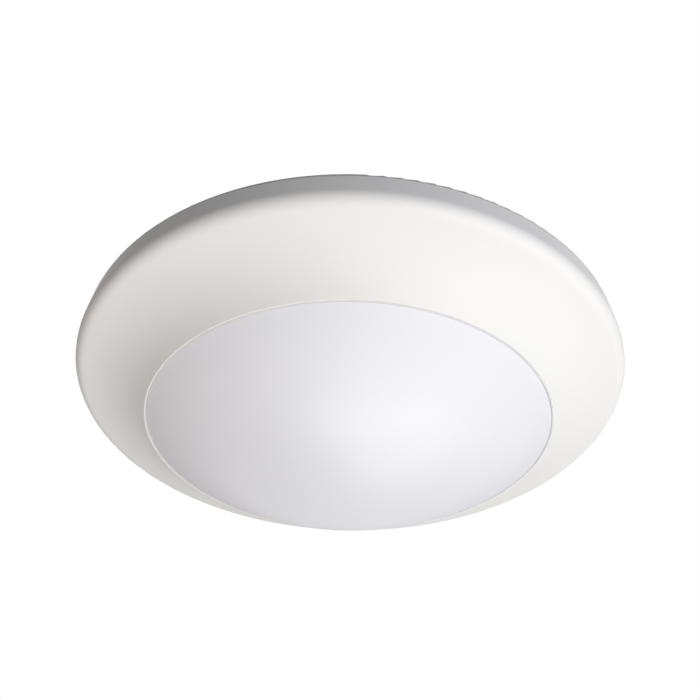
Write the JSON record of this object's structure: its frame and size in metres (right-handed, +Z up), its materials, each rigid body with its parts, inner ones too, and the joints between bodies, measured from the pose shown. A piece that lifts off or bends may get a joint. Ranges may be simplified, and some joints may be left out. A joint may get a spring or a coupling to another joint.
{
  "type": "disk light",
  "caption": "Round surface-mount LED disk light: domed opal lens in a coved white trim ring, with a twist-lock steel bracket for a ceiling box.",
  "frame": {"origin": "centre of the box-screw pattern on the bracket's top face, in the ceiling plane", "axes": "+Z up into the ceiling, along the light's axis, so the lens faces -Z; +X along the wide box-screw slots"},
  "size_m": [0.19, 0.19, 0.0419],
  "materials": {
    "trim_white": "warm white satin powder coat on die-cast aluminium",
    "lens_opal": "opal polycarbonate, satin",
    "silicone": "translucent silicone",
    "reflector_white": "matt white moulding",
    "pan_aluminium": "mill-finish sheet",
    "foam_grey": "closed-cell foam",
    "bracket_zinc": "zinc-plated steel sheet",
    "stud_zinc": "zinc-plated turned steel",
    "pad_grey": "thermal pad",
    "board_white": "white solder mask on aluminium board",
    "chip_phosphor": "phosphor-filled LED package",
    "terminal_ivory": "moulded nylon",
    "contact_brass": "tinned brass",
    "cover_white": "white moulding",
    "capacitor_sleeve": "shrink sleeve",
    "package_black": "moulded epoxy",
    "fuse_brown": "moulded case",
    "varistor_blue": "dipped epoxy",
    "screw_zinc": "zinc-plated",
    "ground_green": "green dyed zinc"
  },
  "bodies": {
    "ceiling_bracket": {"mounting_bracket": "bracket_zinc", "ground_screw": "ground_green"},
    "light_head": {"trim_ring": "trim_white", "diffuser_lens": "lens_opal", "lens_gasket": "silicone", "reflector_ring": "reflector_white", "back_pan": "pan_aluminium", "ceiling_gasket": "foam_grey", "twist_studs": "stud_zinc", "thermal_pad": "pad_grey", "led_board": "board_white", "led_chips": "chip_phosphor", "terminal_block": "terminal_ivory", "terminal_pins": "contact_brass", "driver_cover": "cover_white", "filter_capacitors": "capacitor_sleeve", "bridge_rectifier": "package_black", "fuse": "fuse_brown", "surge_varistor": "varistor_blue", "driver_chips": "package_black", "sense_resistors": "package_black", "pan_screws": "screw_zinc", "board_screws": "screw_zinc"}
  },
  "joints": [
    {"name": "twist_lock", "type": "hinge", "parent": "ceiling_bracket", "child": "light_head", "pos_m": [0, 0, 0], "axis": [0, 0, -1], "range_deg": [0, 18]}
  ]
}
